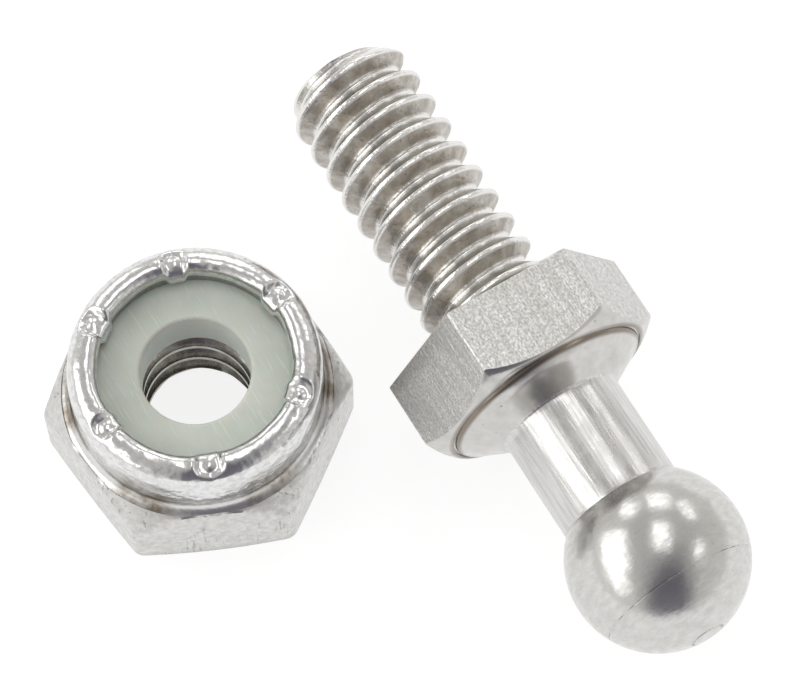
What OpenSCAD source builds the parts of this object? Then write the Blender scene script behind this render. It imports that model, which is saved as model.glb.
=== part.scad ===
// Ball stud for a ball joint, lying on its hex collar, with its nylon-insert lock nut set down
// beside it. Millimetres, +Z up. The stud's axis is X: origin at the collar's seating face,
// shank towards -X, ball towards +X. The nut stands on its bearing face with its axis along Z.

/* [Ball and neck] */
// Diameter of the ball
ball_d = 6.35; // [5.6:0.05:7.2]
// Seating face of the collar to the ball's centre
ball_reach = 10; // [8.5:0.1:14]
// Diameter of the neck between collar and ball
neck_d = 4.4; // [3.4:0.1:5]

/* [Stud collar] */
// Width across the collar's flats
collar_af = 7.94; // [7.2:0.02:9]
// Thickness of the collar at its corners
collar_t = 2.4; // [1.8:0.1:3.2]
// Diameter of the polished cone on the ball side of the collar
cone_d = 7.5; // [6:0.1:7.8]
// Length of that cone, from its rim to the neck
cone_len = 0.9; // [0.3:0.1:1.2]

/* [Threaded shank] */
// Length of the shank from the seating face to the tip
shank_len = 10.9; // [8:0.1:16]
// Outside diameter over the thread crests
thread_d = 4.76; // [4.6:0.02:4.82]
// Distance from crest to crest
pitch = 1.058; // [0.9:0.001:1.2]
// Diameter of the flat end of the tip
tip_d = 3.6; // [3:0.1:4]

/* [Lock nut] */
// Width across the nut's flats
nut_af = 9.45; // [9.2:0.05:10]
// Height of the hexagonal part
nut_hex_h = 3.6; // [3.2:0.1:4]
// Overall height of the nut to the top of the rolled lip
nut_h = 6.3; // [6.2:0.1:7]
// Outside diameter of the round collar that holds the insert
nut_collar_d = 8.72; // [8.6:0.02:9]
// Diameter of the opening inside the rolled lip
lip_d = 6.6; // [6.2:0.1:6.8]
// Diameter over the crests of the nut's own thread
nut_bore_d = 3.8; // [3.7:0.02:3.92]

/* [Nylon insert] */
// Diameter of the insert's plain bore
insert_bore_d = 3.8; // [3.7:0.02:4.2]
// Thickness of the insert
insert_t = 1.8; // [1.6:0.1:1.9]

/* [Layout] */
// Nut centre along the stud's axis, from the seating face
nut_x = -3.5; // [-12:0.1:12]
// Nut centre to the side of the stud's axis
nut_y = -10.16; // [-20:0.02:-9.8]
// Turn of the nut about its own axis (degrees)
nut_turn = 6; // [0:1:59]

/* [Hidden] */
$fn = 96;
metal = [0.78, 0.77, 0.75];
nylon = [0.72, 0.76, 0.72];
table_z = -collar_af / 2;
crest_w = pitch / 8;
root_w = pitch / 4;
flank_w = (pitch - crest_w - root_w) / 2;
thread_depth = flank_w / tan(30);
crest_r = thread_d / 2;
root_r = crest_r - thread_depth;
corner_r = collar_af / 2 / cos(30);
chamfer_slope = 0.7;
rim_z = collar_t + (corner_r - cone_d / 2) * chamfer_slope;
tip_taper = 0.6;
runout = 0.84;
groove_count = floor((shank_len - tip_taper - runout + crest_w) / pitch);
pocket_z = 3.5;
pocket_r = nut_collar_d / 2 - 0.68;
insert_top = pocket_z + insert_t;
lip_round = 0.7;
crimp_count = 6;
nut_groove_count = 3;
nut_groove_r = nut_bore_d / 2 + 0.5;

// one V groove, its mouth starting at z = at and running towards +Z
function groove(at, crest, root) = [
    [crest, at],
    [root, at + flank_w],
    [root, at + flank_w + root_w],
    [crest, at + 2 * flank_w + root_w]
];

function grooves(first, count, crest, root) =
    [for (i = [0 : count - 1]) for (p = groove(first + i * pitch, crest, root)) p];

module shank() {
    first = -runout - groove_count * pitch + crest_w;
    rotate_extrude()
        polygon(concat(
            [[0, -shank_len], [tip_d / 2, -shank_len], [crest_r, tip_taper - shank_len]],
            grooves(first, groove_count, crest_r, root_r),
            [[crest_r, 0.5], [0, 0.5]]));
}

module stud_collar() {
    side = corner_r + 0.1;
    intersection() {
        rotate([0, 0, 30]) cylinder(r = corner_r, h = rim_z, $fn = 6);
        rotate_extrude()
            polygon([[0, 0], [side, 0], [side, collar_t - 0.1 * chamfer_slope],
                     [cone_d / 2, rim_z], [0, rim_z]]);
    }
    rotate_extrude()
        polygon([[0, rim_z - 0.3], [cone_d / 2 - 0.08, rim_z - 0.3],
                 [cone_d / 2 - 0.08, rim_z + 0.02], [neck_d / 2, rim_z + cone_len],
                 [0, rim_z + cone_len]]);
}

module ball_stud() {
    color(metal) rotate([0, 90, 0]) {
        shank();
        stud_collar();
        translate([0, 0, 0.2]) cylinder(d = neck_d, h = ball_reach);
        translate([0, 0, ball_reach]) sphere(d = ball_d);
    }
}

module place_nut() {
    translate([nut_x, nut_y, table_z]) rotate([0, 0, nut_turn]) children();
}

module nut_hex() {
    corner = nut_af / 2 / cos(30) + 0.1;
    flat = nut_af / 2;
    intersection() {
        cylinder(d = nut_af / cos(30), h = nut_hex_h, $fn = 6);
        rotate_extrude()
            polygon([[0, 0], [flat, 0], [corner, (corner - flat) * 0.5],
                     [corner, nut_hex_h - (corner - flat) * tan(30)],
                     [flat, nut_hex_h], [0, nut_hex_h]]);
    }
}

module nut_collar() {
    r = nut_collar_d / 2;
    top_r = r - lip_round;
    rotate_extrude() {
        translate([lip_d / 2, insert_top]) square([r - lip_d / 2, nut_h - lip_round - insert_top]);
        translate([pocket_r - 0.3, nut_hex_h - 0.5])
            square([r - pocket_r + 0.3, insert_top - nut_hex_h + 0.6]);
        intersection() {
            translate([top_r, nut_h - lip_round]) circle(r = lip_round);
            translate([lip_d / 2, insert_top]) square([2 * lip_round, nut_h - insert_top]);
        }
        polygon([[lip_d / 2, insert_top], [top_r, insert_top], [top_r, nut_h],
                 [lip_d / 2, nut_h - lip_round]]);
        polygon([[nut_af / 2 - 0.02, nut_hex_h - 0.01], [r, nut_hex_h + 0.35],
                 [r - 0.3, nut_hex_h + 0.35], [r - 0.3, nut_hex_h - 0.01]]);
    }
}

module nut_thread() {
    r = nut_bore_d / 2;
    first = (pocket_z - nut_groove_count * pitch + crest_w) / 2;
    rotate_extrude()
        polygon(concat(
            [[0, -0.1], [r, -0.1]],
            grooves(first, nut_groove_count, r, nut_groove_r),
            [[r, pocket_z + 0.1], [0, pocket_z + 0.1]]));
}

module locknut_body() {
    color(metal) place_nut() difference() {
        union() {
            nut_hex();
            nut_collar();
        }
        nut_thread();
        translate([0, 0, pocket_z]) cylinder(r = pocket_r, h = insert_t);
        for (i = [0 : crimp_count - 1])
            rotate([0, 0, 30 + i * 360 / crimp_count])
                translate([nut_collar_d / 2 - lip_round, 0, nut_h + 0.2]) sphere(r = 0.5);
    }
}

module nylon_insert() {
    color(nylon) place_nut() translate([0, 0, pocket_z]) difference() {
        cylinder(r = pocket_r, h = insert_t);
        translate([0, 0, -0.1]) cylinder(d = insert_bore_d, h = insert_t + 0.2);
    }
}

ball_stud();
locknut_body();
nylon_insert();
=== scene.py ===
import math

import bmesh
import bpy
import numpy as np
from mathutils import Matrix, Vector, noise


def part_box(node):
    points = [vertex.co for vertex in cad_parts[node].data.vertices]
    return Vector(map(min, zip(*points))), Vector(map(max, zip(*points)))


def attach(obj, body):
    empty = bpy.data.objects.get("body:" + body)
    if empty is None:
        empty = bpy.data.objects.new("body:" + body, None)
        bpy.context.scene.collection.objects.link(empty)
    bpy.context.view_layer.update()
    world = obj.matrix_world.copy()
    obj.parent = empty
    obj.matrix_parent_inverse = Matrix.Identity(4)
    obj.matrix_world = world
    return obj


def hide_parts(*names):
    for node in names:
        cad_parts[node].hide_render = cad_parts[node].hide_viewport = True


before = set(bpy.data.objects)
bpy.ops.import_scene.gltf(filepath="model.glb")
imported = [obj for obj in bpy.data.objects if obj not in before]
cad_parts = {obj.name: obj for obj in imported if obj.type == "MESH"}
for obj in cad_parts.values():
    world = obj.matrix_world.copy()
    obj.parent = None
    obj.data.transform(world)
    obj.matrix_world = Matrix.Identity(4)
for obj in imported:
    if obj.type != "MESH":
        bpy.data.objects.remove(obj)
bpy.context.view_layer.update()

MM = 0.001

# ---- sizes in millimetres, as in the CAD frame ----
PITCH = 1.058
CREST_R = 2.38
THREAD_DEPTH = 0.573
TIP_R = 1.92
TIP_TAPER = 0.6
RUNOUT = 0.75
RUNOUT_RISE = 0.55            # how much of the thread's depth is filled up at the collar
ROOT_HIGHLIGHT_R = 1.86           # inside this radius the thread's root carries a painted highlight, and it is dirty outside the next
DIRTY_FLANK_R = 1.95
CREST_START = -2.02           # a crest's x on the +Y side of the shank

NECK_R = 2.2
BALL_R = 3.175
COLLAR_T = 2.4
COLLAR_CORNER_ROUND = 0.16
CHAMFER_SLOPE = 0.7
SHOULDER_POWER = 1.4          # 1 is a straight chamfer
CONE_R = 3.75
CONE_LEN = 0.9
RIM_GROOVE = ((-0.02, -0.015), (0.0, -0.02), (0.03, -0.09), (0.07, -0.08), (0.1, 0.03))   # inwards, up
CONE_START = 0.13             # from the rim in to where the cone begins
WITNESS_REACH = 1.43          # two turned lines on the ball, from its centre along the axis
END_MARK_REACH = 3.12

NUT_AF = 9.45
NUT_HEX_H = 3.6
NUT_CORNER_ROUND = 0.45
LOW_CHAMFER_SLOPE = 0.5
TOP_CHAMFER_SLOPE = 1.25
NUT_TURN = math.radians(6)
NUT_COLLAR_R = 4.36
LIP_R = 3.3
LIP_ROUND = 0.7
LIP_DROP = 1.25               # the lip's inner rounding, height to width
NUT_BORE_R = 1.9
NUT_GROOVE_R = 2.38
NUT_CREST_START = 0.2         # height of a crest above the bearing face
INSERT_BORE_R = 1.9
INSERT_BORE_ROUND = 0.14
INSERT_EDGE = 0.05
INSERT_SWELL = 0.03

CRIMP_TURNS = (5.3, 4.4, 5.4, 1.4, 1.6, 1.6)   # how far each crimp is off its flat's middle, degrees
CRIMP_R = 3.8
CRIMP_HALF_WIDTH = 0.42
CRIMP_DOWN = 0.21
CRIMP_INWARD = 0.13
CRIMP_RIDGE = 0.02
CRIMP_DIMPLE = 0.07
LIP_WAVE = 0.05


def box_mm(node):
    low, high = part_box(node)
    return np.array(low) / MM, np.array(high) / MM


# ---- places from the CAD frame; the nut's heights are from its bearing face ----
stud_low, stud_high = box_mm("ball_stud")
insert_low, insert_high = box_mm("nylon_insert")
nut_low, nut_high = box_mm("locknut_body")

TIP_X = stud_low[0]
BALL_X = stud_high[0] - BALL_R
COLLAR_AF = stud_high[2] - stud_low[2]
COLLAR_CORNER_R = COLLAR_AF / 2 / math.cos(math.pi / 6)
RIM_X = COLLAR_T + (COLLAR_CORNER_R - CONE_R) * CHAMFER_SLOPE
STUD_PLACE = Matrix(((0, 0, 1), (0, 1, 0), (-1, 0, 0))).to_4x4()

POCKET_R = (insert_high[0] - insert_low[0]) / 2
POCKET_Z = insert_low[2] - nut_low[2]
INSERT_TOP = insert_high[2] - nut_low[2]
NUT_H = nut_high[2] - nut_low[2]
nut_centre = (insert_low + insert_high) / 2
NUT_PLACE = (Matrix.Translation((nut_centre[0] * MM, nut_centre[1] * MM, nut_low[2] * MM))
             @ Matrix.Rotation(NUT_TURN + math.pi / 6, 4, "Z"))


# ---- mesh tools: a shell is vertices, faces and one material number per face ----
METAL_SHARP_DEG = 32          # faces that meet at more than this keep a sharp edge
NYLON_SHARP_DEG = 35


class Shell:
    def __init__(self):
        self.verts = []
        self.faces = []
        self.mats = []

    def ring(self, points):
        start = len(self.verts)
        self.verts.extend(tuple(p) for p in points)
        return list(range(start, len(self.verts)))

    def bridge(self, a, b, mat):
        n = len(a)
        for i in range(n):
            j = (i + 1) % n
            self.faces.append((a[i], a[j], b[j], b[i]))
            self.mats.append(mat)

    def fan(self, ring, tip, mat):
        (centre,) = self.ring([tip])
        for i, v in enumerate(ring):
            self.faces.append((v, ring[(i + 1) % len(ring)], centre))
            self.mats.append(mat)

    def angle(self, v):
        x, y, _ = self.verts[v]
        return math.atan2(y, x) % (2 * math.pi)

    def stitch(self, a, b, mat):
        """Joins two closed loops about the Z axis, which may have different numbers of points."""
        a = sorted(a, key=self.angle)
        b = sorted(b, key=self.angle)
        turn = 2 * math.pi
        i = j = 0
        while i < len(a) or j < len(b):
            next_a = self.angle(a[(i + 1) % len(a)]) + turn * ((i + 1) // len(a))
            next_b = self.angle(b[(j + 1) % len(b)]) + turn * ((j + 1) // len(b))
            if j >= len(b) or (i < len(a) and next_a <= next_b):
                self.faces.append((a[i % len(a)], a[(i + 1) % len(a)], b[j % len(b)]))
                i += 1
            else:
                self.faces.append((a[i % len(a)], b[(j + 1) % len(b)], b[j % len(b)]))
                j += 1
            self.mats.append(mat)

    def lathe(self, rows, mat_of):
        """rows of points; neighbours are bridged with the material mat_of gives for that step."""
        rings = [self.ring(r) for r in rows]
        for k in range(len(rings) - 1):
            self.bridge(rings[k], rings[k + 1], mat_of(k))
        return rings[0], rings[-1]

    def add(self, bm, mat):
        """Takes in a bmesh and returns the vertices on its open edges."""
        start = len(self.verts)
        bm.verts.index_update()
        self.verts.extend(tuple(v.co) for v in bm.verts)
        for f in bm.faces:
            self.faces.append(tuple(start + v.index for v in f.verts))
            self.mats.append(mat)
        return sorted(start + v.index for v in bm.verts if v.is_boundary)

    def build(self, name, materials, place, sharp_deg, body, nodes):
        mesh = bpy.data.meshes.new(name)
        mesh.from_pydata([tuple(c * MM for c in v) for v in self.verts], [], self.faces)
        for m in materials:
            mesh.materials.append(m)
        mesh.polygons.foreach_set("material_index", self.mats)
        bm = bmesh.new()
        bm.from_mesh(mesh)
        bmesh.ops.remove_doubles(bm, verts=bm.verts, dist=1e-8)
        bmesh.ops.dissolve_degenerate(bm, edges=bm.edges, dist=1e-8)
        bmesh.ops.recalc_face_normals(bm, faces=bm.faces)
        bm.transform(place)
        bm.to_mesh(mesh)
        bm.free()
        mesh.set_sharp_from_angle(angle=math.radians(sharp_deg))
        obj = bpy.data.objects.new(name, mesh)
        bpy.context.scene.collection.objects.link(obj)
        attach(obj, body)
        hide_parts(*nodes)
        return obj


def polar(r, z, angles):
    """One row of points about Z; r and z are one value each or one value per angle."""
    r = np.broadcast_to(r, angles.shape)
    z = np.broadcast_to(z, angles.shape)
    return np.stack([r * np.cos(angles), r * np.sin(angles), z], axis=1)


def hex_tangent(across, rounding):
    """The angle, from a flat's middle, where the flat meets its rounded corner."""
    return math.atan(math.tan(math.pi / 6) * (1 - 2 * rounding / across))


def hex_angles(flat_steps, corner_steps, across, rounding):
    """Angles round a rounded hexagon whose first flat faces angle 0, closer together at its corners."""
    tangent = hex_tangent(across, rounding)
    sector = np.concatenate([
        np.linspace(-tangent, tangent, flat_steps, endpoint=False),
        np.linspace(tangent, math.pi / 3 - tangent, corner_steps, endpoint=False)])
    return np.concatenate([sector + k * math.pi / 3 for k in range(6)])


def hex_radius(angles, across, rounding):
    """The distance from the axis to a rounded hexagon's outline at each angle."""
    flat = across / 2
    off_flat = (angles + math.pi / 6) % (math.pi / 3) - math.pi / 6
    off_corner = math.pi / 6 - np.abs(off_flat)
    centre = (flat - rounding) / math.cos(math.pi / 6)
    inside = rounding ** 2 - (centre * np.sin(off_corner)) ** 2
    arc = centre * np.cos(off_corner) + np.sqrt(np.maximum(inside, 0))
    side = flat / np.cos(off_flat)
    return np.where(np.abs(off_flat) > hex_tangent(across, rounding), arc, side)


def helix(profile, phase, low, high, limit, steps):
    """A helical thread surface about Z, cut flat at low and high.

    profile holds (height, radius) over one pitch, and limit(z, r) gives the radius that is left of it.
    """
    first = math.floor((low - phase) / PITCH) - 2
    turns = math.ceil((high - low) / PITCH) + 4
    per = len(profile)
    count = turns * steps + 1
    t = np.arange(count) / steps
    angle = 2 * math.pi * t
    heights, radii = np.array(profile).T
    z = phase + (first + t)[:, None] * PITCH + heights[None, :]
    r = limit(z, np.broadcast_to(radii[None, :], z.shape))
    points = np.stack([r * np.cos(angle)[:, None], r * np.sin(angle)[:, None], z], axis=2).reshape(-1, 3)
    bm = bmesh.new()
    verts = [bm.verts.new(p) for p in points]
    for k in range(count - 1):
        for j in range(per - 1):
            a, b = k * per + j, (k + 1) * per + j
            bm.faces.new((verts[a], verts[b], verts[b + 1], verts[a + 1]))
        if k + 1 + steps < count:
            a, b = k * per + per - 1, (k + 1) * per + per - 1
            c, d = (k + 1 + steps) * per, (k + steps) * per
            bm.faces.new((verts[a], verts[b], verts[c], verts[d]))
    for cut, side in ((low, -1), (high, 1)):
        bmesh.ops.bisect_plane(bm, geom=bm.verts[:] + bm.edges[:] + bm.faces[:], dist=1e-6,
                               plane_co=(0, 0, cut), plane_no=(0, 0, side), clear_outer=True)
    return bm


def split_loops(shell, loop):
    """The open edges of a cut helix: its lower and its upper loop."""
    heights = [shell.verts[v][2] for v in loop]
    middle = (min(heights) + max(heights)) / 2
    return ([v for v, h in zip(loop, heights) if h < middle],
            [v for v, h in zip(loop, heights) if h >= middle])


def arc(cx, cy, r, start, end, steps):
    return [(cx + r * math.cos(a), cy + r * math.sin(a))
            for a in np.radians(np.linspace(start, end, steps))]


def external_profile():
    """One pitch of the stud's thread, root to root: flat crest with softened edges, round root."""
    slope = math.tan(math.radians(30))
    crest = PITCH / 16
    soft = 0.02
    root = CREST_R - THREAD_DEPTH
    root_round = 0.11
    up = root + root_round * (1 - math.sin(math.radians(30)))
    reach = PITCH / 2 - root_round * math.cos(math.radians(30))
    flank_top = crest + soft * slope
    right = [(0.0, CREST_R), (crest - soft, CREST_R), (crest, CREST_R - 0.3 * soft),
             (flank_top, CREST_R - soft)]
    flank_steps = 4
    right += [(flank_top + (reach - flank_top) * k / flank_steps,
               CREST_R - soft + (up - CREST_R + soft) * k / flank_steps)
              for k in range(1, flank_steps + 1)]
    right += [(PITCH / 2 - root_round * math.sin(a), root + root_round * (1 - math.cos(a)))
              for a in np.radians((45, 30, 15))]
    left = [(-z, r) for z, r in reversed(right[1:])]
    return [(-PITCH / 2, root)] + left + right


def stud_limit(z, r):
    """The tip's taper, and the run-out where the thread dies away at the collar."""
    smallest = 0.2
    tip = TIP_R + (z - TIP_X) * (CREST_R - TIP_R) / TIP_TAPER
    fade = np.clip((z + RUNOUT) / RUNOUT, 0, 1)
    floor = (CREST_R - THREAD_DEPTH) + fade ** 2 * THREAD_DEPTH * RUNOUT_RISE
    return np.minimum(np.maximum(r, floor), np.maximum(tip, smallest))


# ---- materials: each is worked out from the object's own coordinates, in metres ----
NOISE_ROUGHNESS = 0.55


class Finish:
    """One Principled material and short ways to add noise, lines and relief to it."""

    def __init__(self, name, color, rough, metallic=1.0, **sockets):
        self.material = bpy.data.materials.new(name)
        self.material.use_nodes = True
        self.tree = self.material.node_tree
        self.shader = self.tree.nodes["Principled BSDF"]
        self.shader.inputs["Base Color"].default_value = (*color, 1)
        self.shader.inputs["Roughness"].default_value = rough
        self.shader.inputs["Metallic"].default_value = metallic
        for socket, value in sockets.items():
            self.shader.inputs[socket.replace("_", " ")].default_value = value
        self.place = self.tree.nodes.new("ShaderNodeTexCoord").outputs["Object"]
        self.normal = None

    def node(self, kind, inputs=(), **settings):
        n = self.tree.nodes.new("ShaderNode" + kind)
        for key, value in settings.items():
            setattr(n, key, value)
        for key, value in dict(inputs).items():
            if isinstance(value, bpy.types.NodeSocket):
                self.tree.links.new(value, n.inputs[key])
            else:
                n.inputs[key].default_value = value
        return n

    def noise(self, grain_mm, stretch=(1, 1, 1), detail=4.0, at=(0, 0, 0)):
        """Noise with features of about grain_mm, drawn out along an axis where stretch is above 1."""
        scale = tuple(1 / (grain_mm * MM * k) for k in stretch)
        moved = self.node("Mapping", {"Vector": self.place, "Scale": scale, "Location": at})
        return self.node("TexNoise", {"Vector": moved.outputs[0], "Scale": 1.0, "Detail": detail,
                                      "Roughness": NOISE_ROUGHNESS}).outputs["Fac"]

    def rings(self, grain_mm, detail=3.0):
        """Noise that changes only along X, as turning leaves it."""
        line = self.node("Math", {0: self.along(), 1: 1 / grain_mm}, operation="MULTIPLY")
        return self.node("TexNoise", {"W": line.outputs[0], "Scale": 1.0, "Detail": detail},
                         noise_dimensions="1D").outputs["Fac"]

    def along(self):
        """Distance along the stud, in millimetres."""
        split = self.node("SeparateXYZ", {0: self.place})
        return self.node("Math", {0: split.outputs[0], 1: 1 / MM}, operation="MULTIPLY").outputs[0]

    def line_at(self, x_mm, half_width):
        """A thin ring about the stud's axis: 1 at x_mm, 0 beyond half_width."""
        off = self.node("Math", {0: self.along(), 1: x_mm}, operation="SUBTRACT").outputs[0]
        far = self.node("Math", {0: off}, operation="ABSOLUTE").outputs[0]
        return self.remap(far, half_width * 0.3, half_width, 1.0, 0.0)

    def radius(self):
        """Distance from the stud's own axis, in millimetres."""
        split = self.node("SeparateXYZ", {0: self.place})
        flat = self.node("CombineXYZ", {1: split.outputs[1], 2: split.outputs[2]})
        length = self.node("VectorMath", {0: flat.outputs[0]}, operation="LENGTH")
        return self.node("Math", {0: length.outputs["Value"], 1: 1 / MM}, operation="MULTIPLY").outputs[0]

    def remap(self, fac, low, high, to_low, to_high):
        """A smooth step from to_low to to_high as fac goes from low to high."""
        return self.node("MapRange", {"Value": fac, "From Min": low, "From Max": high,
                                      "To Min": to_low, "To Max": to_high},
                         interpolation_type="SMOOTHSTEP").outputs[0]

    def colors(self, fac, *stops):
        """A colour ramp with (position, colour) stops."""
        ramp = self.node("ValToRGB", {0: fac})
        elements = ramp.color_ramp.elements
        while len(elements) < len(stops):
            elements.new(0.5)
        for element, (at, color) in zip(elements, stops):
            element.position = at
            element.color = (*color, 1)
        return ramp.outputs[0]

    def blend(self, fac, a, b, mode="MIX"):
        n = self.node("Mix", data_type="RGBA", blend_type=mode)
        for socket, value in ((n.inputs[0], fac), (n.inputs[6], a), (n.inputs[7], b)):
            if isinstance(value, bpy.types.NodeSocket):
                self.tree.links.new(value, socket)
            else:
                socket.default_value = value if isinstance(value, float) else (*value, 1)
        return n.outputs[2]

    def paint(self, color):
        self.tree.links.new(color, self.shader.inputs["Base Color"])

    def roughness(self, value):
        self.tree.links.new(value, self.shader.inputs["Roughness"])

    def bump(self, height, depth_mm):
        """Adds a relief, on top of any that is there already."""
        inputs = {"Height": height, "Distance": depth_mm * MM, "Strength": 1.0}
        if self.normal:
            inputs["Normal"] = self.normal
        self.normal = self.node("Bump", inputs).outputs[0]
        self.tree.links.new(self.normal, self.shader.inputs["Normal"])


def stud_thread_material():
    m = Finish("stud_thread_metal", (0.43, 0.404, 0.37), 0.34)
    radius = m.radius()
    tip = m.remap(m.along(), TIP_X + TIP_TAPER - 0.1, TIP_X + TIP_TAPER, 1.0, 0.0)
    patches = m.noise(0.55, detail=5)
    specks = m.noise(0.1, stretch=(1.6, 1, 1), detail=3, at=(3, 1, 2))
    stain = m.colors(patches, (0.32, (0.361, 0.327, 0.284)), (0.5, (0.482, 0.452, 0.413)),
                     (0.68, (0.619, 0.602, 0.568)))
    dirty = m.blend(m.remap(specks, 0.3, 0.4, 0.6, 0.0), stain, (0.172, 0.15, 0.129))
    # painted highlight: the crests, partly worn, and the rounded roots are painted a light, smooth colour for
    # the bright lines that light leaves along them
    crest_wear_and_highlight = m.remap(radius, CREST_R - 0.1, CREST_R - 0.03, 0.0, 1.0)
    root_highlight = m.remap(radius, ROOT_HIGHLIGHT_R, DIRTY_FLANK_R, 1.0, 0.0)
    edges = m.node("Math", {0: crest_wear_and_highlight, 1: root_highlight}, operation="MAXIMUM").outputs[0]
    # the light colour covers the painted crest and root highlights and the polished tip
    polished = m.node("Math", {0: edges, 1: tip}, operation="MAXIMUM").outputs[0]
    m.paint(m.blend(polished, dirty, (0.774, 0.765, 0.748)))
    m.roughness(m.remap(polished, 0.0, 1.0, 0.36, 0.2))
    m.bump(specks, 0.012)
    m.bump(m.noise(0.35, detail=2, at=(5, 5, 5)), 0.035)
    return m.material


def collar_flat_material():
    m = Finish("collar_frosted_metal", (0.616, 0.607, 0.59), 0.42)
    grain = m.noise(0.06, stretch=(1.8, 1, 1), detail=3)
    drawn = m.noise(0.14, stretch=(14, 1, 1), detail=3, at=(1, 4, 2))
    tone = m.colors(grain, (0.32, (0.44, 0.431, 0.414)), (0.5, (0.651, 0.642, 0.625)),
                    (0.66, (0.862, 0.862, 0.854)))
    m.paint(m.blend(m.remap(drawn, 0.34, 0.6, 0.4, 0.0), tone, (0.44, 0.431, 0.409)))
    m.roughness(m.remap(grain, 0.3, 0.7, 0.5, 0.3))
    m.bump(grain, 0.016)
    m.bump(drawn, 0.02)
    return m.material


def turned_material():
    m = Finish("collar_turned_metal", (0.533, 0.525, 0.507), 0.22)
    grain = m.noise(0.5, detail=4)
    pits = m.noise(0.16, detail=1, at=(6, 2, 4))
    tone = m.colors(grain, (0.3, (0.533, 0.525, 0.503)), (0.7, (0.619, 0.611, 0.593)))
    pitted = m.blend(m.remap(pits, 0.2, 0.25, 0.7, 0.0), tone, (0.189, 0.172, 0.155))
    m.paint(m.blend(m.line_at(RIM_X + 0.03, 0.12), pitted, (0.25, 0.215, 0.18)))
    m.roughness(m.remap(grain, 0.3, 0.7, 0.25, 0.17))
    m.bump(m.rings(0.06), 0.001)
    return m.material


def neck_material():
    m = Finish("neck_polished_metal", (0.605, 0.596, 0.58), 0.2)
    drawn = m.noise(0.13, stretch=(16, 1, 1), detail=4)
    m.paint(m.colors(drawn, (0.3, (0.504, 0.496, 0.479)), (0.5, (0.638, 0.63, 0.617)),
                     (0.7, (0.722, 0.718, 0.706))))
    m.roughness(m.remap(m.noise(0.5, detail=4), 0.3, 0.7, 0.33, 0.22))
    m.bump(drawn, 0.012)
    m.bump(m.noise(0.05, detail=2), 0.0015)
    return m.material


def ball_material():
    m = Finish("ball_satin_metal", (0.605, 0.596, 0.58), 0.24)
    line = m.rings(0.05, detail=4)
    haze = m.noise(0.45, stretch=(0.4, 1, 1), detail=6)
    fine = m.noise(0.04, stretch=(1, 3, 3), detail=2)
    tone = m.colors(haze, (0.3, (0.554, 0.546, 0.525)), (0.7, (0.655, 0.651, 0.638)))
    witness = m.node("Math", {0: m.line_at(BALL_X + WITNESS_REACH, 0.028),
                              1: m.line_at(BALL_X + END_MARK_REACH, 0.015)}, operation="MAXIMUM").outputs[0]
    broken = m.node("Math", {0: witness, 1: m.remap(haze, 0.42, 0.52, 0.0, 0.8)},
                    operation="MULTIPLY").outputs[0]
    tone = m.blend(broken, tone, (0.2, 0.195, 0.2))
    m.bump(witness, -0.004)
    m.paint(m.blend(m.remap(fine, 0.3, 0.42, 0.22, 0.0), tone, (0.42, 0.412, 0.395)))
    m.roughness(m.remap(haze, 0.3, 0.7, 0.28, 0.18))
    m.bump(line, 0.0014)
    m.bump(fine, 0.0016)
    m.bump(m.noise(0.7, detail=2, at=(2, 7, 1)), 0.012)
    return m.material


def nut_flat_material():
    m = Finish("nut_flat_metal", (0.56, 0.556, 0.544), 0.34)
    marks = m.noise(0.12, stretch=(1, 1, 12), detail=2)
    patch = m.noise(1.4, detail=1, at=(2.5, 0.5, 1))
    grain = m.noise(0.25, detail=5, at=(2, 2, 2))
    tone = m.colors(grain, (0.3, (0.528, 0.52, 0.496)), (0.65, (0.656, 0.652, 0.64)))
    pressed = m.node("Math", {0: m.remap(marks, 0.32, 0.4, 0.6, 0.0), 1: m.remap(patch, 0.5, 0.55, 0.1, 1.0)},
                     operation="MULTIPLY").outputs[0]
    m.paint(m.blend(pressed, tone, (0.288, 0.272, 0.24)))
    m.roughness(m.remap(grain, 0.3, 0.7, 0.4, 0.26))
    m.bump(pressed, -0.012)
    m.bump(m.noise(0.09, detail=2), 0.004)
    return m.material


def lip_material():
    m = Finish("nut_lip_metal", (0.72, 0.72, 0.716), 0.16)
    wave = m.noise(0.8, detail=2)
    streak = m.noise(0.22, detail=4, at=(4, 1, 1))
    m.paint(m.colors(streak, (0.3, (0.594, 0.59, 0.585)), (0.6, (0.774, 0.774, 0.774))))
    m.roughness(m.remap(streak, 0.3, 0.7, 0.24, 0.12))
    m.bump(wave, 0.06)
    m.bump(m.noise(0.24, detail=2), 0.006)
    return m.material


def seam_material():
    """The hollow under the collar: lighter over the flats, darker brown in patches over the hexagon's
    corners.
    """
    m = Finish("nut_seam_metal", (0.6, 0.58, 0.54), 0.28)
    patches = m.noise(0.6, detail=4, at=(1, 5, 3))
    from_axis = m.node("VectorMath", {0: m.place, 1: NUT_PLACE.translation}, operation="SUBTRACT")
    split = m.node("SeparateXYZ", {0: from_axis.outputs[0]})
    turn = m.node("Math", {0: split.outputs[1], 1: split.outputs[0]}, operation="ARCTAN2")
    wave = m.node("Math", {0: turn.outputs[0], 1: 6.0, 2: -6 * NUT_TURN}, operation="MULTIPLY_ADD")
    corner = m.node("Math", {0: wave.outputs[0]}, operation="COSINE")
    # darker brown over the hexagon's corners, broken into patches
    stain = m.node("Math", {0: m.remap(corner.outputs[0], -0.2, 0.7, 0.0, 1.0),
                            1: m.remap(patches, 0.35, 0.6, 1.0, 0.35)}, operation="MULTIPLY")
    m.paint(m.blend(stain.outputs[0], (0.68, 0.675, 0.66), (0.27, 0.235, 0.19)))
    m.bump(m.noise(0.25, detail=3), 0.015)
    return m.material


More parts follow.
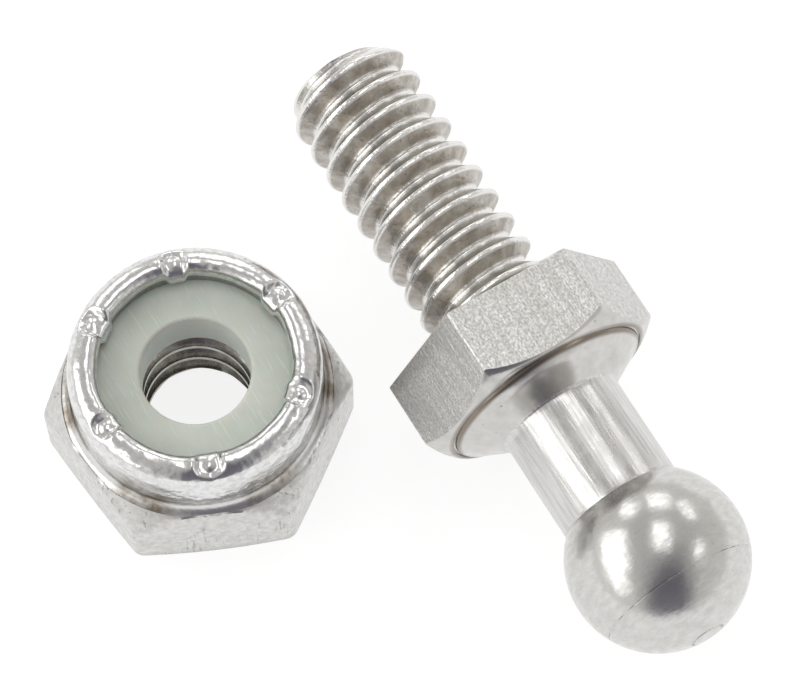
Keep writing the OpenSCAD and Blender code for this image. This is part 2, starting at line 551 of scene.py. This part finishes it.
def nut_thread_material():
    m = Finish("nut_thread_metal", (0.3, 0.282, 0.258), 0.22)
    m.paint(m.colors(m.noise(0.4), (0.35, (0.252, 0.228, 0.204)), (0.65, (0.396, 0.384, 0.36))))
    m.roughness(m.remap(m.noise(0.3, at=(3, 3, 3)), 0.3, 0.7, 0.16, 0.3))
    m.bump(m.noise(0.15, detail=2), 0.006)
    return m.material


def nylon_material():
    m = Finish("nylon_natural", (0.591, 0.63, 0.571), 0.4, 0.0, IOR=1.53, Subsurface_Weight=0.4,
               Subsurface_Scale=0.0007)
    cloud = m.noise(1.6, detail=3)
    scratch = m.noise(0.08, stretch=(12, 1, 1), detail=3, at=(1, 1, 3))
    tone = m.colors(cloud, (0.3, (0.581, 0.63, 0.566)), (0.7, (0.659, 0.699, 0.64)))
    m.paint(m.blend(m.remap(scratch, 0.58, 0.7, 0.0, 0.5), tone, (0.788, 0.817, 0.778)))
    m.roughness(m.remap(scratch, 0.3, 0.7, 0.32, 0.5))
    m.bump(scratch, 0.01)
    return m.material


# ---- ball stud: built along Z, ball upwards, then laid along X ----
def shoulder(r):
    """Height of the collar's turned shoulder, steep at the corners and rounding over to the rim."""
    out = np.maximum(r - CONE_R, 0) / (COLLAR_CORNER_R - CONE_R)
    return RIM_X - (RIM_X - COLLAR_T) * out ** SHOULDER_POWER


def build_stud():
    s = Shell()
    a = hex_angles(24, 6, COLLAR_AF, COLLAR_CORNER_ROUND)
    outline = hex_radius(a, COLLAR_AF, COLLAR_CORNER_ROUND)
    chamfer = shoulder(outline)
    edge = 0.05
    rows, mats = [], []
    THREAD, FROST, TURNED, NECK, BALL = range(5)

    def row(r, z, mat):
        rows.append(polar(r, z, a))
        mats.append(mat)

    row(outline - edge, 0.0, FROST)
    row(outline - 0.3 * edge, 0.3 * edge, FROST)
    row(outline, edge, FROST)
    for k in (0.25, 0.5, 0.75):
        row(outline, edge + (chamfer - 2 * edge) * k, FROST)
    row(outline, chamfer - 0.6 * edge, FROST)
    row(outline - 0.3 * edge, chamfer - 0.02, TURNED)
    for k in (0.0, 0.25, 0.5, 0.75):
        r = outline - edge + (CONE_R - outline + edge) * k
        row(r, shoulder(r), TURNED)
    for inward, up in RIM_GROOVE:
        row(CONE_R - inward, RIM_X + up, TURNED)
    cone_slope = CONE_LEN / (CONE_R - NECK_R)
    blend = 0.08
    for k in (0.0, 0.33, 0.66, 1.0):
        r = CONE_R - CONE_START + (NECK_R + blend - CONE_R + CONE_START) * k
        row(r, RIM_X + (CONE_R - r) * cone_slope, TURNED)
    top = RIM_X + CONE_LEN
    row(NECK_R + 0.02, top, NECK)
    row(NECK_R, top + 0.05, NECK)
    join = BALL_X - math.sqrt(BALL_R ** 2 - NECK_R ** 2)
    for k in np.linspace(0.05, 0.98, 12):
        row(NECK_R, top + 0.05 + (join - top - 0.05) * k, NECK)
    row(NECK_R + 0.015, join + 0.01, BALL)
    begin = math.asin(NECK_R / BALL_R)
    for t in np.linspace(begin, math.pi, 60)[1:-1]:
        row(BALL_R * math.sin(t), BALL_X - BALL_R * math.cos(t), BALL)
    seat, pole = s.lathe(rows, lambda k: mats[k + 1])
    s.fan(pole, (0, 0, BALL_X + BALL_R), BALL)

    # the local angle is measured from -Z of the row, so +Y is a quarter turn on
    phase = CREST_START - PITCH / 4
    bm = helix(external_profile(), phase, TIP_X, 0.0, stud_limit, 120)
    low_loop, seat_loop = split_loops(s, s.add(bm, THREAD))
    bm.free()
    s.stitch(seat_loop, seat, TURNED)
    s.fan(sorted(low_loop, key=s.angle), (0, 0, TIP_X), TURNED)
    metals = [stud_thread_material(), collar_flat_material(), turned_material(), neck_material(),
              ball_material()]
    return s.build("ball_stud_turned", metals, STUD_PLACE, METAL_SHARP_DEG, "stud", ["ball_stud"])


# ---- lock nut: built about Z from its bearing face up, first flat towards angle 0 ----
def smooth_step(x, low, high):
    t = np.clip((x - low) / (high - low), 0, 1)
    return t * t * (3 - 2 * t)


def nut_limit(z, r):
    """Countersinks at both ends of the nut's own thread."""
    bottom = NUT_GROOVE_R + 0.1 - z
    top = NUT_GROOVE_R - (POCKET_Z - z)
    return np.maximum(r, np.maximum(bottom, top))


def internal_profile():
    """One pitch of the nut's thread, groove to groove."""
    slope = math.tan(math.radians(30))
    crest = PITCH / 8
    reach = crest + (NUT_GROOVE_R - NUT_BORE_R) * slope
    soft = 0.03
    right = [(0.0, NUT_BORE_R), (crest - soft, NUT_BORE_R), (crest + soft / 2, NUT_BORE_R + soft)]
    right += [(crest + (reach - crest) * k, NUT_BORE_R + (NUT_GROOVE_R - NUT_BORE_R) * k)
              for k in (0.35, 0.68, 0.95)]
    left = [(-z, r) for z, r in reversed(right[1:])]
    return [(-PITCH / 2, NUT_GROOVE_R)] + left + right


def crimp(r, z, angles):
    """How far the six crimps push the lip down and inwards at each point."""
    down = np.zeros_like(angles)
    inward = np.zeros_like(angles)
    for k, off in enumerate(CRIMP_TURNS):
        away = (angles - k * math.pi / 3 - math.radians(off) + math.pi) % (2 * math.pi) - math.pi
        side = away * CRIMP_R + 0.05 * math.sin(7 * k)
        offset = np.abs(side)
        width = CRIMP_HALF_WIDTH + 0.06 * math.sin(3 * k)
        wide = 1 - smooth_step(offset, width - 0.14, width + 0.1)
        deep = 1 - smooth_step(r + 0.35 * offset, 3.95, 4.3)
        high = smooth_step(z, INSERT_TOP - 0.1, NUT_H - 0.45)
        near_top = smooth_step(z, NUT_H - 0.5, NUT_H)
        ridge = np.exp(-((offset - width - 0.12) / 0.1) ** 2) * deep * near_top
        dimple = np.exp(-(side ** 2 + (r - 3.78) ** 2) / 0.03) * near_top
        down += CRIMP_DOWN * wide * deep * high - CRIMP_RIDGE * ridge - CRIMP_DIMPLE * dimple
        inward += CRIMP_INWARD * wide * (1 - smooth_step(r, 3.4, 3.9))
    return down, inward


def ring_noise(angles, size, height):
    """Noise sampled round a circle of the given size, so that its ends meet."""
    return np.array([noise.noise(Vector((size * math.cos(t), size * math.sin(t), height)))
                     for t in angles])


def lip_wave(angles, level):
    """The slow unevenness that rolling leaves in the lip."""
    return LIP_WAVE * ring_noise(angles, 2.5, 7.0 + level)


def build_nut():
    s = Shell()
    a = hex_angles(66, 6, NUT_AF, NUT_CORNER_ROUND)
    outline = hex_radius(a, NUT_AF, NUT_CORNER_ROUND)
    flat = NUT_AF / 2
    rows, mats = [], []
    FLAT, LIP, INNER, SEAM = range(4)

    def row(r, z, mat):
        r = np.broadcast_to(np.asarray(r, dtype=float), a.shape).copy()
        z = np.broadcast_to(np.asarray(z, dtype=float), a.shape).copy()
        if mat == LIP:
            down, inward = crimp(r, z, a)
            rise = smooth_step(z, NUT_HEX_H + 0.6, NUT_H)
            r = r - inward + rise * lip_wave(a, 0.0) * np.where(r < LIP_R + 0.3, 1.0, 0.3)
            z = z - down - 0.4 * (lip_wave(a, 5.0) + 0.03) * rise
        rows.append(polar(r, z, a))
        mats.append(mat)

    base_r = flat - 0.1
    row(base_r, 0.0, FLAT)
    low_chamfer = np.maximum(outline - base_r, 0) * LOW_CHAMFER_SLOPE
    row(outline - 0.02, np.maximum(low_chamfer - 0.02, 0.015), FLAT)
    row(outline, low_chamfer + 0.03, FLAT)
    top_chamfer = NUT_HEX_H - (outline - flat) * TOP_CHAMFER_SLOPE
    for k in (0.25, 0.5, 0.75):
        row(outline, low_chamfer + (top_chamfer - low_chamfer) * k, FLAT)
    row(outline, top_chamfer - 0.16, FLAT)
    row(outline - 0.015, top_chamfer - 0.08, FLAT)
    row(outline - 0.06, top_chamfer, FLAT)
    edge_r = np.minimum(outline - 0.13, flat - 0.02)
    row((outline + edge_r) / 2, (top_chamfer + NUT_HEX_H) / 2, FLAT)
    row(edge_r, NUT_HEX_H, FLAT)
    # a soft concave blend from the hexagon's chamfer into the round collar
    seam_r = flat + 0.12
    for r, z in arc(seam_r, NUT_HEX_H + 0.42, seam_r - NUT_COLLAR_R, 250, 180, 8):
        row(min(r, flat - 0.03), z, SEAM)
    for z in np.linspace(NUT_HEX_H + 0.5, NUT_H - LIP_ROUND, 6):
        row(NUT_COLLAR_R, z, LIP)
    lip_mid = NUT_COLLAR_R - LIP_ROUND
    for r, z in arc(lip_mid, NUT_H - LIP_ROUND, LIP_ROUND, 10, 90, 14):
        row(r, z, LIP)
    inner_wide = lip_mid - LIP_R
    inner_tall = inner_wide * LIP_DROP
    for x, y in arc(0, 0, 1, 100, 190, 12):
        row(lip_mid + x * inner_wide, NUT_H - inner_tall + y * inner_tall, LIP)
    row(LIP_R + 0.04, INSERT_TOP + 0.03, INNER)
    row(LIP_R + 0.1, INSERT_TOP, INNER)
    row(POCKET_R, INSERT_TOP, INNER)
    row(POCKET_R, POCKET_Z, INNER)
    base, floor = s.lathe(rows, lambda k: mats[k + 1])
    bm = helix(internal_profile(), NUT_CREST_START, 0.0, POCKET_Z, nut_limit, 96)
    low_loop, high_loop = split_loops(s, s.add(bm, INNER))
    bm.free()
    s.stitch(low_loop, base, FLAT)
    s.stitch(high_loop, floor, INNER)
    metals = [nut_flat_material(), lip_material(), nut_thread_material(), seam_material()]
    return s.build("locknut_shell", metals, NUT_PLACE, METAL_SHARP_DEG, "lock_nut", ["locknut_body"])


def build_insert():
    s = Shell()
    a = np.linspace(0, 2 * math.pi, 192, endpoint=False)
    thick = INSERT_TOP - POCKET_Z
    outline = ([(INSERT_BORE_R + INSERT_EDGE, 0.0), (INSERT_BORE_R, 0.06)]
               + [(INSERT_BORE_R, z) for z in np.linspace(0.2, thick - 0.22, 5)]
               + arc(INSERT_BORE_R + INSERT_BORE_ROUND, thick - INSERT_BORE_ROUND, INSERT_BORE_ROUND,
                     180, 90, 6)
               + [(r, thick) for r in np.linspace(INSERT_BORE_R + 0.3, POCKET_R - INSERT_EDGE, 16)]
               + [(POCKET_R, thick - INSERT_EDGE), (POCKET_R, INSERT_EDGE),
                  (POCKET_R - INSERT_EDGE, 0.0)])
    rows = []
    for r, z in outline:
        swell = 0.0
        if z == thick:
            fade = smooth_step(np.full_like(a, r), INSERT_BORE_R + 0.2, LIP_R)
            swell = ring_noise(a, 2, r) * INSERT_SWELL * fade
            swell = np.minimum(swell, 0) if r > LIP_R - 0.1 else swell
        rows.append(polar(r, POCKET_Z + z + swell, a))
    first, last = s.lathe(rows, lambda k: 0)
    s.bridge(last, first, 0)
    return s.build("nylon_ring", [nylon_material()], NUT_PLACE, NYLON_SHARP_DEG, "lock_nut",
                   ["nylon_insert"])


stud = build_stud()
nut = build_nut()
ring = build_insert()

# ---- floor, light, camera ----
VIEW_AZ = math.radians(58.92)
VIEW_EL = math.radians(68.65)
VIEW_DISTANCE = 0.1316
VIEW_TARGET = Vector((-0.00107, -0.00366, 0.0))
FOCAL_SHARE = 4.825          # focal length as a share of the picture's width
FLOOR_HALF = 1.5
FLOOR_GAP = 0.00001

# the world's strength near the horizon and overhead, and the card's place, as parts of a unit sphere
WORLD_LOW = 0.78
WORLD_HIGH = 0.57
WORLD_COLOR = (1, 0.985, 0.955)
CARD_COLOR = (0.2619, 0.2511, 0.2916)
CARD_RIGHT = 0.16
CARD_UP = 0.38
CARD_HALF_WIDTH = 0.52
CARD_HALF_HEIGHT = 0.7
CARD_EDGE = (0.55, 1.15)     # the card fades out between these shares of its half sizes
CARD_CUTOFF = 9.0            # how sharply it ends at the far half of the world

SOFTBOX_DISTANCE = 0.35
# name, direction (to the picture's right, level away from the camera, up), width, depth, radiance
SOFTBOXES = (
    ("softbox_left", (-0.85, -0.05, 0.55), 0.22, 0.3, 1.5),
    ("softbox_far_left", (-0.49, 0.72, 0.49), 0.1, 0.12, 1.5),
    ("softbox_far", (0.03, 0.84, 0.54), 0.12, 0.14, 1.5),
    ("softbox_far_right", (0.5, 0.68, 0.54), 0.08, 0.13, 1.3),
    ("softbox_overhead", (0.04, 0.17, 0.98), 0.12, 0.22, 1.4),
    ("softbox_right", (0.75, -0.06, 0.66), 0.06, 0.14, 1.2),
    ("softbox_near_left", (-0.72, -0.58, 0.36), 0.12, 0.16, 1.2))

across = Vector((math.cos(VIEW_AZ), math.sin(VIEW_AZ), 0))        # to the picture's right
away = Vector((-math.sin(VIEW_AZ), math.cos(VIEW_AZ), 0))         # level, away from the camera
back = (Vector((0, 0, 1)) * math.sin(VIEW_EL) - away * math.cos(VIEW_EL))


def lay_floor():
    z = nut_low[2] * MM - FLOOR_GAP
    h = FLOOR_HALF
    mesh = bpy.data.meshes.new("studio_floor")
    mesh.from_pydata([(-h, -h, z), (h, -h, z), (h, h, z), (-h, h, z)], [], [(0, 1, 2, 3)])
    floor = bpy.data.objects.new("studio_floor", mesh)
    bpy.context.scene.collection.objects.link(floor)
    paper = Finish("white_paper", (0.25, 0.25, 0.25), 0.9, 0.0, Emission_Color=(1, 1, 1, 1),
                   Emission_Strength=0.84)
    mesh.materials.append(paper.material)


def toward(right, far, high):
    """A direction given in the view's own terms."""
    return across * right + away * far + Vector((0, 0, 1)) * high


def softbox(name, direction, wide, deep, brightness):
    """A panel of the given radiance that faces the object; wide runs across the view, deep away from it."""
    facing = toward(*direction).normalized()
    light = bpy.data.lights.new(name, "AREA")
    light.shape = "RECTANGLE"
    light.size, light.size_y = wide, deep
    light.energy = brightness * math.pi * wide * deep
    side = away.cross(facing).normalized()
    obj = bpy.data.objects.new(name, light)
    obj.matrix_world = (Matrix.Translation(VIEW_TARGET + facing * SOFTBOX_DISTANCE)
                        @ Matrix((side, facing.cross(side), facing)).transposed().to_4x4())
    bpy.context.scene.collection.objects.link(obj)


def light_world():
    """Pale surroundings with a dark card on the camera's side."""
    world = bpy.data.worlds.new("studio")
    bpy.context.scene.world = world
    world.use_nodes = True
    tree = world.node_tree

    def node(kind, *inputs, **settings):
        n = tree.nodes.new("ShaderNode" + kind)
        for key, value in settings.items():
            setattr(n, key, value)
        for socket, value in zip(n.inputs, inputs):
            if isinstance(value, bpy.types.NodeSocket):
                tree.links.new(value, socket)
            else:
                socket.default_value = value
        return n

    place = node("TexCoord").outputs["Generated"]
    height = node("SeparateXYZ", place).outputs[2]
    side = node("VectorMath", place, across, operation="DOT_PRODUCT").outputs["Value"]
    behind = node("VectorMath", place, away, operation="DOT_PRODUCT").outputs["Value"]
    wide = node("Math", side, 1 / CARD_HALF_WIDTH, -CARD_RIGHT / CARD_HALF_WIDTH,
                operation="MULTIPLY_ADD").outputs[0]
    tall = node("Math", height, 1 / CARD_HALF_HEIGHT, -CARD_UP / CARD_HALF_HEIGHT,
                operation="MULTIPLY_ADD").outputs[0]
    # only the half of the world on the camera's side holds the card
    far_side = node("Math", behind, 0.0, operation="MAXIMUM").outputs[0]
    hidden = node("Math", far_side, CARD_CUTOFF, operation="MULTIPLY").outputs[0]
    reach = node("VectorMath", node("CombineXYZ", wide, tall, hidden).outputs[0],
                 operation="LENGTH").outputs["Value"]
    inside = node("MapRange", reach, *CARD_EDGE, 1.0, 0.0, interpolation_type="SMOOTHSTEP").outputs[0]
    strength = node("MapRange", height, 0.1, 0.9, WORLD_LOW, WORLD_HIGH, interpolation_type="SMOOTHSTEP")
    color = node("Mix", inside, data_type="RGBA")
    color.inputs[6].default_value = (*WORLD_COLOR, 1)
    color.inputs[7].default_value = (*CARD_COLOR, 1)
    background = tree.nodes["Background"]
    tree.links.new(color.outputs[2], background.inputs["Color"])
    tree.links.new(strength.outputs[0], background.inputs["Strength"])


def aim_camera():
    data = bpy.data.cameras.new("camera")
    data.sensor_width = 36
    data.lens = data.sensor_width * FOCAL_SHARE
    data.clip_start = 0.01
    data.clip_end = 10
    camera = bpy.data.objects.new("camera", data)
    camera.matrix_world = (Matrix.Translation(VIEW_TARGET + VIEW_DISTANCE * back)
                           @ Matrix((across, back.cross(across), back)).transposed().to_4x4())
    bpy.context.scene.collection.objects.link(camera)
    bpy.context.scene.camera = camera


lay_floor()
for panel in SOFTBOXES:
    softbox(*panel)
light_world()
aim_camera()
bpy.context.scene.view_settings.view_transform = "Standard"
